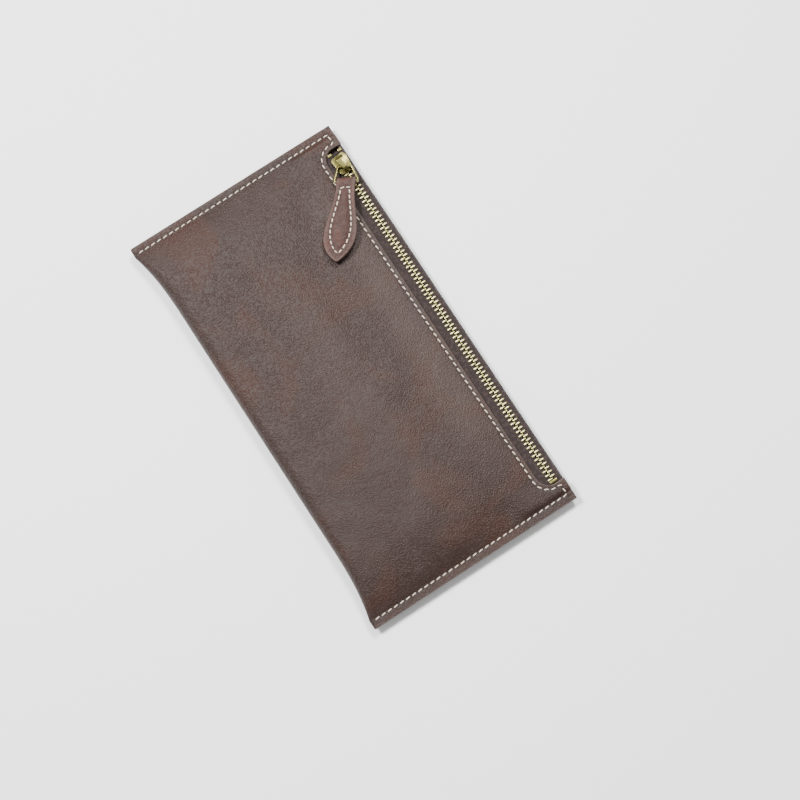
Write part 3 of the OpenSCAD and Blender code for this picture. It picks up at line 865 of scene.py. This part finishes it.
def copies(name, model, placements, material):
    """One piece of many copies of a model, each at its own matrix (in millimetres)."""
    mesh = model.data
    base = np.array([v.co for v in mesh.vertices]) / MM
    polygons = [tuple(p.vertices) for p in mesh.polygons]
    vertices, faces = [], []
    for m in placements:
        turned = m.to_3x3().determinant() < 0
        m = np.array(m)
        start = len(vertices)
        vertices += list(base @ m[:3, :3].T + m[:3, 3])
        faces += [tuple(start + i for i in (reversed(p) if turned else p)) for p in polygons]
    obj = piece(name, vertices, faces, [material], smooth=False)
    only(obj)
    bpy.ops.object.shade_smooth_by_angle(angle=math.radians(50))
    return obj


def make_teeth():
    tooth = model_tooth()
    slope = math.atan(PART_BY / (PART_TO - PART_FROM))
    for side, name, node in (
        (-1, "front_brass_teeth", "front_teeth"),
        (1, "back_brass_teeth", "back_teeth"),
    ):
        places = []
        for i in range(TEETH):
            y = FIRST_TOOTH_Y + (i + (0.5 if side > 0 else 0)) * TOOTH_PITCH
            lean = slope * side if PART_FROM < y < PART_TO else 0
            place = Matrix.Translation((CHAIN_X + side * parting(y), y, CHAIN_Z))
            places.append(place @ Matrix.Rotation(-lean, 4, "Z") @ Matrix.Diagonal((-side, 1, 1, 1)))
        finish_piece(copies(name, tooth, places, teeth_finish), "pouch", "zip_teeth", node)
    bpy.data.objects.remove(tooth)


def worked_copy(node, name, width, segments, finish, body, slot, angle=30):
    """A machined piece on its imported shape: a merged copy whose edges are rounded off."""
    source = frame["nodes"][node]
    obj = source.copy()
    obj.data = source.data.copy()
    obj.name = obj.data.name = name
    bpy.context.scene.collection.objects.link(obj)
    for key in list(obj.keys()):
        del obj[key]
    only(obj)
    bpy.ops.object.mode_set(mode="EDIT")
    bpy.ops.mesh.select_all(action="SELECT")
    bpy.ops.mesh.remove_doubles(threshold=0.002 * MM)
    bpy.ops.mesh.dissolve_limited(angle_limit=math.radians(2))
    bpy.ops.mesh.normals_make_consistent(inside=False)
    bpy.ops.object.mode_set(mode="OBJECT")
    apply_modifier(obj, "BEVEL", width=width * MM, segments=segments, limit_method="ANGLE",
                   angle_limit=math.radians(angle), use_clamp_overlap=True)
    only(obj)
    bpy.ops.object.shade_smooth_by_angle(angle=math.radians(40))
    obj.data.materials.clear()
    obj.data.materials.append(finish)
    return finish_piece(obj, body, slot, node)


def make_slider():
    worked_copy("slider_body", "zipper_slider", 0.22, 3, slider_finish, "slider", "slider_metal")
    worked_copy("slider_bridge", "slider_arch", 0.4, 4, slider_finish, "slider", "slider_metal")
    for node, name in (("front_top_stop", "front_stop_clip"), ("back_top_stop", "back_stop_clip"),
                       ("bottom_stop", "bottom_stop_clip")):
        worked_copy(node, name, 0.18, 2, ring_finish, "pouch", "zip_teeth")
    worked_copy("ring_top_bar", "pull_ring_top", 0.02, 1, ring_finish, "ring_pivot", "ring_metal", 60)
    worked_copy("pull_ring", "pull_wire_ring", 0.02, 1, ring_finish, "ring", "ring_metal", 60)


# ---------------------------------------------------------------- the leather pull

joints = {j["name"]: j for j in frame["joints"]}
bar = Vector(joints["pull_flip"]["pos_m"]) / MM
bar_way = -Vector(joints["pull_flip"]["axis"])
TAB_TILT = 4.8
LEAN = 0.21                      # how far the drop leans sideways for each step towards its tip
TAB_L = 39.0
TAB_W = 15.6
TAB_T = 3.5
NECK_W = 9.0
NECK_L = 3.0
WIDEST = 0.64
LINE_TOP = 3.4                   # first stitches from the bar
LINE_TIP = 4.0                   # last stitches from the tip
LINE_W = 9.5
LINE_NECK_W = 4.3
PULL_PITCH = 2.75


def tab_place(x, y, z):
    """A place on the pull, from its own frame: the origin on the ring's bar, the tip at -Y."""
    tilt = math.radians(TAB_TILT)
    flat = Vector((-bar_way.y, bar_way.x, 0))
    along_tab = flat * math.cos(tilt) - Vector((0, 0, math.sin(tilt)))
    up = flat * math.sin(tilt) + Vector((0, 0, math.cos(tilt)))
    return bar + bar_way * (x + LEAN * y) + along_tab * y + up * z


def drop_half(t, top, full):
    """Half of a drop's width, t of the way from its top to its tip."""
    if t < WIDEST:
        return mix(top, full, float(ease(t / WIDEST))) / 2
    return full / 2 * (1 - ((t - WIDEST) / (1 - WIDEST)) ** 2) ** 0.8 if t < 1 else 0.0


def line_half(y):
    """Half of the width of the drop inside the stitches, at y."""
    t = (-y - LINE_TOP) / (TAB_L - LINE_TIP - LINE_TOP)
    return drop_half(t, LINE_NECK_W, LINE_W) if 0 <= t <= 1 else 0.0


def tab_half(y):
    """Half of the width of the pull's leather at y."""
    if y > -NECK_L:
        return NECK_W / 2
    return drop_half((-y - NECK_L) / (TAB_L - NECK_L), NECK_W, TAB_W)


def tab_surface(x, y):
    """Height of the pull's top face over its middle: a padded drop, a groove at the stitches, a thin rim."""
    half = max(tab_half(y), 0.01)
    line = line_half(y)
    inward = half - abs(x)
    rim = 1.25
    pad = 0.0
    if -TAB_L + LINE_TIP < y < -LINE_TOP:
        ends = min((-LINE_TOP - y) / 3.0, (y + TAB_L - LINE_TIP) / 5.0, 1.0)
        pad = 0.62 * float(ease((line - abs(x)) / 2.6)) * float(ease(ends))
    neck = float(ease((y + 6.5) / 6.0))
    height = mix(rim + pad, TAB_T / 2 - 0.02, neck)
    groove = 0.22 * math.exp(-((abs(x) - line) / 0.55) ** 2) if line > 0.8 and y < -LINE_TOP + 0.5 else 0.0
    top_line = 0.22 * math.exp(-((y + LINE_TOP) / 0.55) ** 2) if abs(x) < 2.3 else 0.0
    round_off = 0.7 * (1 - math.sqrt(max(0.0, 1 - (1 - min(inward / 0.7, 1)) ** 2)))
    return height - max(groove, top_line) - round_off


def make_pull():
    across = 34
    fold_r = TAB_T / 2
    ys = [fold_r * math.sin(a) for a in np.linspace(math.pi / 2 - 0.02, 0, 9)]
    ys += list(np.linspace(0, -TAB_L * 0.72, 74)[1:])
    ys += [-TAB_L * (0.72 + 0.28 * math.sin(a)) for a in np.linspace(0, math.pi / 2 - 0.01, 30)[1:]]
    vertices, edges, seams = [], [], []
    for y in ys:
        half = tab_half(y)
        spread = [half * math.sin(a) for a in np.linspace(-math.pi / 2, math.pi / 2, across)]
        if y > 0:
            level = math.sqrt(max(fold_r ** 2 - y * y, 0.0001))
            soft = [0.25 * float(ease((abs(x) - half + 0.5) / 0.5)) for x in spread]
            tops = [min(level, max(0.02, level - drop)) for drop in soft]
        else:
            tops = [max(tab_surface(x, y), 0.12) for x in spread]
        ring = [tab_place(x, y, z) for x, z in zip(spread, tops)]
        ring += [tab_place(x, y, -z) for x, z in zip(reversed(spread), reversed(tops))]
        vertices += ring
        rim = [min(half - abs(x), y + TAB_L) for x in spread]
        line = [abs(abs(x) - line_half(y)) if line_half(y) > 0.8 else FAR for x in spread]
        edges += rim + rim[::-1]
        seams += line + line[::-1]
    faces = tube_faces(len(ys), 2 * across)
    tab = piece("pull_leather_drop", vertices, faces, [pull_finish],
                attributes={"edge": np.maximum(edges, 0) * 1.2, "seam": seams})
    recalculate(tab)
    finish_piece(tab, "pull", "pull_leather", "pull_leather", "pull_core")


def pull_line():
    """The stitches' line on the pull: down one side, round the tip, up the other and across the neck."""
    ts = np.linspace(0, 1, 40)
    side = [(drop_half(t, LINE_NECK_W, LINE_W), mix(-LINE_TOP, -TAB_L + LINE_TIP, t)) for t in ts]
    return [(0, -LINE_TOP)] + side + [(-x, y) for x, y in reversed(side)] + [(0, -LINE_TOP)]


def make_pull_stitches():
    flat, ways = spaced(pull_line(), PULL_PITCH)
    centre = tab_place(0, 0, 0)
    up = (tab_place(0, 0, 1) - centre).normalized()
    for side, name, node in (
        (1, "pull_stitches", "pull_thread"),
        (-1, "pull_back_stitches", "pull_bobbin_thread"),
    ):
        places = [tab_place(x, y, side * (tab_surface(x, y) + 0.04)) for x, y in flat]
        turned = [(tab_place(x, y, 0) - centre) for x, y in ways]
        vertices, faces, uvs = stitch_row(
            [np.array(p) for p in places], [np.array(w) for w in turned],
            [np.array(up) * side] * len(flat), length=2.0, thick=0.6, slant=6)
        finish_piece(piece(name, vertices, faces, [thread_finish], uvs=uvs), "pull", "thread", node)


make_tapes()
make_cords()
make_teeth()
make_slider()
make_pull()
make_pull_stitches()


# ---------------------------------------------------------------- the stage

def make_floor():
    bpy.ops.object.select_all(action="DESELECT")
    bpy.ops.mesh.primitive_plane_add(size=6, location=(0, 0, -0.0002))
    floor = bpy.context.object
    floor.name = "floor"
    f = Finish("pale_floor")
    f.set(Base_Color=(0.93, 0.93, 0.93), Roughness=0.9)
    floor.data.materials.append(f.material)


def soft_light(name, place, size, power, target=(0, 0, 0)):
    data = bpy.data.lights.new(name, "AREA")
    data.shape = "DISK"
    data.size = size
    data.energy = power
    light = bpy.data.objects.new(name, data)
    light.location = place
    light.rotation_euler = (Vector(target) - Vector(place)).to_track_quat("-Z", "Y").to_euler()
    bpy.context.scene.collection.objects.link(light)


def make_camera():
    data = bpy.data.cameras.new("camera")
    data.lens = 85
    camera = bpy.data.objects.new("camera", data)
    bpy.context.scene.collection.objects.link(camera)
    place = Vector((-61.6, -134.9, 865)) * MM
    aim = Vector((11.9, -22.95, 5)) * MM
    back = (place - aim).normalized()
    across = Vector((0.539, 0.828, 0.154)).cross(back).normalized()
    up = back.cross(across)
    camera.matrix_world = Matrix.Translation(place) @ Matrix((across, up, back)).transposed().to_4x4()
    bpy.context.scene.camera = camera


make_camera()
make_floor()
soft_light("window", (-0.32, 0.45, 1.0), 0.26, 24)
soft_light("top", (0.5, 0.45, 1.1), 0.36, 22)
world = bpy.data.worlds.new("studio")
world.use_nodes = True
world.node_tree.nodes["Background"].inputs[0].default_value = (1, 1, 1, 1)
world.node_tree.nodes["Background"].inputs[1].default_value = 0.64
bpy.context.scene.world = world
